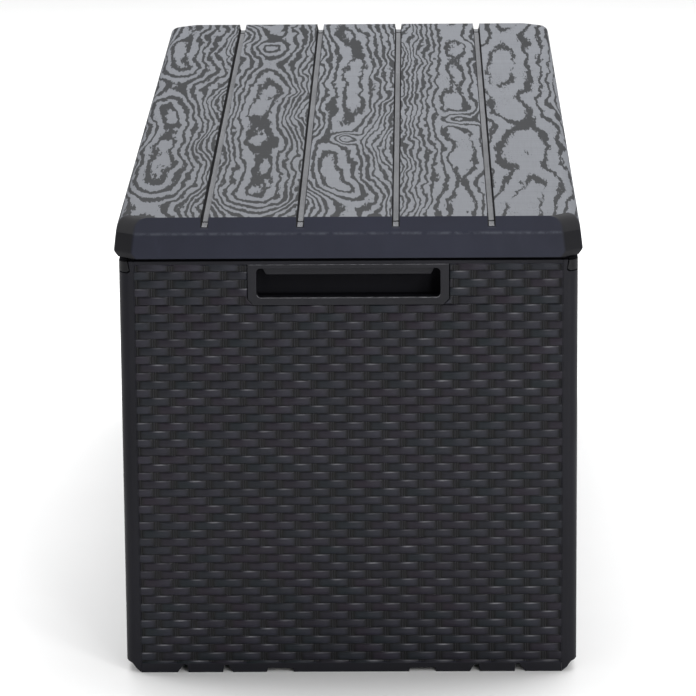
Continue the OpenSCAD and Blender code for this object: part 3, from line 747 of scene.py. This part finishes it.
def groove(name, y, groove_shade_material, floor_material):
    """The channel between two planks. It runs out at the end bevels and has a drain slit near each end. Its
    walls and slits take a near-black material as painted shade.
    """
    levels = rounded_levels(LID_LEVELS)
    floor_z = LID_TOP - GROOVE_DEEP
    run_out = HALF_L - np.interp(floor_z - SKIRT_Z, levels[:, 0], levels[:, 1])
    slit_low = SLIT_PLACE - SLIT_HALF
    slit_high = SLIT_PLACE + SLIT_HALF
    slit_edges = [slit_low - GROOVE_STEP, slit_low, slit_high, slit_high + GROOVE_STEP]
    from_end = np.concatenate([np.array([0, 1, 3, 6, 10, 15]) * MM, slit_edges, [36 * MM]])
    right = (run_out - from_end)[::-1]
    x = np.concatenate([-right[::-1], right])
    bevel_z = np.interp(HALF_L - np.abs(x), levels[:, 1], levels[:, 0]) + SKIRT_Z
    in_slit = np.abs(run_out - np.abs(x) - SLIT_PLACE) < SLIT_HALF + GROOVE_STEP / 2
    section = [(-off, down) for off, down in GROOVE_SIDE] + [GROOVE_MIDDLE] + GROOVE_SIDE[::-1]
    rows = []
    for off, down in section:
        z = np.minimum(LID_TOP - down * MM, bevel_z - 0.02 * MM) - np.where(in_slit, SLIT_DIP, 0)
        rows.append(np.column_stack([x, np.full(len(x), y + off * MM), z]))
    faces = grid_faces(len(section), len(x))
    is_floor = [min(near[1], far[1]) > GROOVE_FLOOR_FROM for near, far in zip(section[:-1], section[1:])]
    # Painted shade: the walls and the slits take the near-black material, only the floor outside them the
    # pale one
    out_of_slit = ~(in_slit[1:] | in_slit[:-1])
    face_material = np.outer(is_floor, out_of_slit).astype(int).ravel()
    return new_piece(name, np.concatenate(rows).tolist(), faces, [groove_shade_material, floor_material], "lid",
                     face_material=face_material)


def lid_ceiling(material):
    """The underside of the planks, with a bead under each groove."""
    levels = rounded_levels(LID_LEVELS)
    corner = corner_turn(levels[-1, 1], levels[-1, 2])
    edge = HALF_D - levels[-1, 2]
    high = LID_TOP - LID_WALL
    low = high - GROOVE_DEEP
    bead = GROOVE_HALF + LID_WALL
    section = [(-edge, high), (CUT_Y - edge, high)]
    low_bead = bead - 0.5 * MM
    for y in GROOVES:
        section += [(y - bead, high), (y - low_bead, low), (y + low_bead, low), (y + bead, high)]
    section += [(edge - CUT_Y, high), (edge, high)]
    share = np.linspace(-1, 1, 9)
    rows = []
    for y, z in section:
        reach = np.interp(abs(y), corner[:, 1], corner[:, 0]) - 0.3 * MM
        rows.append(np.column_stack([share * reach, np.full(len(share), y), np.full(len(share), z)]))
    faces = grid_faces(len(section), len(share), flip=True)
    points = np.concatenate(rows).tolist()
    ceiling = new_piece("lid_ceiling", points, faces, [material], "lid")
    soft_edges(ceiling, 0.8 * MM)
    return ceiling


def block_points(low, high):
    """The eight corners and six faces of a straight block."""
    corners = [(x, y, z) for x in (low[0], high[0]) for y in (low[1], high[1]) for z in (low[2], high[2])]
    faces = [(0, 1, 3, 2), (4, 6, 7, 5), (0, 4, 5, 1), (2, 3, 7, 6), (0, 2, 6, 4), (1, 5, 7, 3)]
    return corners, faces


def lid_ribs(material):
    """Cross ribs under the lid and the pads that the brace clips are screwed to."""
    high = LID_TOP - LID_WALL + OVERLAP
    bead_low = high - GROOVE_DEEP
    bead = GROOVE_HALF + LID_WALL
    edges = [-RIB_REACH] + [y + off for y in GROOVES for off in (-bead, bead)] + [RIB_REACH]
    blocks = []
    for i in range(-4, 5):
        x0 = i * RIB_PITCH - RIB_HALF
        x1 = i * RIB_PITCH + RIB_HALF
        blocks.append(((x0, -RIB_REACH, RIB_LOW), (x1, RIB_REACH, bead_low)))
        for y0, y1 in zip(edges[::2], edges[1::2]):
            blocks.append(((x0, y0, bead_low - 2 * OVERLAP), (x1, y1, high)))
    for x in BRACE_CLIPS:
        for y in (-PLANK_PITCH, PLANK_PITCH):
            blocks.append(((x - CLIP_PAD_HALF_X, y - CLIP_PAD_HALF_Y, RIB_LOW),
                           (x + CLIP_PAD_HALF_X, y + CLIP_PAD_HALF_Y, high)))
    points, faces = [], []
    for low, top in blocks:
        corners, sides = block_points(low, top)
        faces += [tuple(len(points) + k for k in side) for side in sides]
        points += corners
    ribs = new_piece("lid_ribs", points, faces, [material], "lid")
    soft_edges(ribs, 0.5 * MM)
    return ribs


def build_lid():
    """All pieces of the lid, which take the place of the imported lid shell."""
    rim_material = rim_plastic("lid_rim_plastic", LID_DARK)
    under_material = moulded_plastic("lid_under_plastic", LID_DARK, 0.55, 0.3)
    groove_shade_material = moulded_plastic("groove_wall_painted_shade", PAINTED_GROOVE_SHADE, 0.7, 0.15)
    floor_material = moulded_plastic("groove_floor_plastic", GROOVE_FLOOR_COLOUR, 0.55, 0.2)
    pieces = [lid_rim(rim_material), lid_ceiling(under_material), lid_ribs(under_material)]
    for index, settings in enumerate(PLANKS):
        print_material = wood_print(f"wood_print_{index + 1}", **settings)
        pieces.append(plank(f"lid_plank_{index + 1}", index, print_material))
    for index, y in enumerate(GROOVES):
        pieces.append(groove(f"lid_groove_{index + 1}", y, groove_shade_material, floor_material))
    for piece in pieces:
        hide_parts("lid_shell")


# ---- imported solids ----

def dress(node, material):
    node.data.materials.clear()
    node.data.materials.append(material)


def dress_packed_solids():
    """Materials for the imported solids, and soft edges on those that show."""
    wall = moulded_plastic("wall_plastic", WALL_COLOUR, 0.52, 0.18)
    trim = moulded_plastic("trim_plastic", TRIM_COLOUR, 0.52, 0.22)
    pocket = moulded_plastic("pocket_plastic", POCKET_COLOUR, 0.7, 0.12)
    looks = {"wall_plastic": wall, "trim_plastic": trim, "grip_plastic": pocket,
             "steel": zinc_plated("zinc_plated_steel"), "rubber": rubber("black_rubber")}
    for entry in frame["record"]["subparts"]:
        if entry["material_slot"] in looks:
            dress(frame["nodes"][entry["node"]], looks[entry["material_slot"]])
    for name in ("front_panel", "back_panel", "end_panel_left", "end_panel_right"):
        soft_edges(frame["nodes"][name], 0.6 * MM, 40, weld=True)
    grip = grip_plastic("grip_plate_plastic_painted_highlight", WALL_COLOUR)
    for name in ("grip_plate_left", "grip_plate_right"):
        dress(frame["nodes"][name], grip)
        soft_edges(frame["nodes"][name], 1.1 * MM, 40, weld=True)
    soft_edges(frame["nodes"]["corner_clips"], 0.5 * MM, 40, weld=True)


# ---- stage ----

FLOOR_REACH = 14
WORLD_STRENGTH = 0.4

# Name, place, target, size and watts
LIGHTS = [
    ("overhead", (-1.4, 0.2, 3.6), (-0.4, 0, 0), (4, 4), 190),
    ("fill_front", (-0.8, -3.2, 2.4), (0, -0.9, 0), (2.4, 2.4), 70),
    ("fill_back", (-0.8, 3.2, 2.4), (0, 0.9, 0), (2.4, 2.4), 55),
    ("key", (3.1, 1.7, 1.8), (0.6, 0, 0.3), (0.8, 0.8), 28),
    ("strip", (3.9, 1.0, 0.95), (0.63, 0, 0.3), (0.5, 1.5), 30),
]


def area_light(name, place, target, size, power):
    data = bpy.data.lights.new(name, "AREA")
    data.shape = "RECTANGLE"
    data.size, data.size_y = size
    data.energy = power
    light = bpy.data.objects.new(name, data)
    light.location = place
    light.rotation_euler = (Vector(target) - Vector(place)).to_track_quat("-Z", "Y").to_euler()
    bpy.context.scene.collection.objects.link(light)


def build_floor():
    s = Shader("pale_floor")
    speck = s.noise(s.place(), 3, 3, 0.5)
    colour = s.mix(speck, (0.86, 0.86, 0.86, 1), (0.9, 0.9, 0.9, 1))
    material = s.finish(Base_Color=colour, Roughness=0.9, Specular_IOR_Level=0.1)
    corners = [(x * FLOOR_REACH, y * FLOOR_REACH, 0) for x, y in ((-1, -1), (1, -1), (1, 1), (-1, 1))]
    mesh = bpy.data.meshes.new("floor")
    mesh.from_pydata(corners, [], [(0, 1, 2, 3)])
    mesh.materials.append(material)
    floor = bpy.data.objects.new("floor", mesh)
    bpy.context.scene.collection.objects.link(floor)


def build_stage():
    """Floor, lights and an even white surround."""
    build_floor()
    for light in LIGHTS:
        area_light(*light)
    world = bpy.data.worlds.new("studio")
    world.use_nodes = True
    background = world.node_tree.nodes["Background"].inputs
    background["Color"].default_value = (1, 1, 1, 1)
    background["Strength"].default_value = WORLD_STRENGTH
    bpy.context.scene.world = world
    bpy.context.scene.view_settings.view_transform = "Standard"


# ---- camera ----

CAMERA_PLACE = (HALF_L + 5.0289, 0.0760, 1.6774)
CAMERA_PITCH = 14.31           # degrees below the horizon
CAMERA_YAW = 0.876             # degrees towards -Y from looking along -X
CAMERA_ROLL = -0.479
CAMERA_LENS = 232.68           # for the 36 mm sensor


def build_camera():
    pitch, yaw, roll = (math.radians(a) for a in (CAMERA_PITCH, CAMERA_YAW, CAMERA_ROLL))
    forward = Vector((-math.cos(yaw) * math.cos(pitch), -math.sin(yaw) * math.cos(pitch), -math.sin(pitch)))
    level_right = Vector((-math.sin(yaw), math.cos(yaw), 0))
    level_up = level_right.cross(forward)
    right = level_right * math.cos(roll) + level_up * math.sin(roll)
    up = level_up * math.cos(roll) - level_right * math.sin(roll)
    data = bpy.data.cameras.new("camera")
    data.sensor_width = 36
    data.lens = CAMERA_LENS
    data.clip_end = 60
    camera = bpy.data.objects.new("camera", data)
    turn = Matrix((right, up, -forward)).transposed().to_4x4()
    camera.matrix_world = Matrix.Translation(CAMERA_PLACE) @ turn
    bpy.context.scene.collection.objects.link(camera)
    bpy.context.scene.camera = camera


# ---- the whole scene ----

build_camera()
build_lid()
weave_walls()
dress_packed_solids()
build_stage()
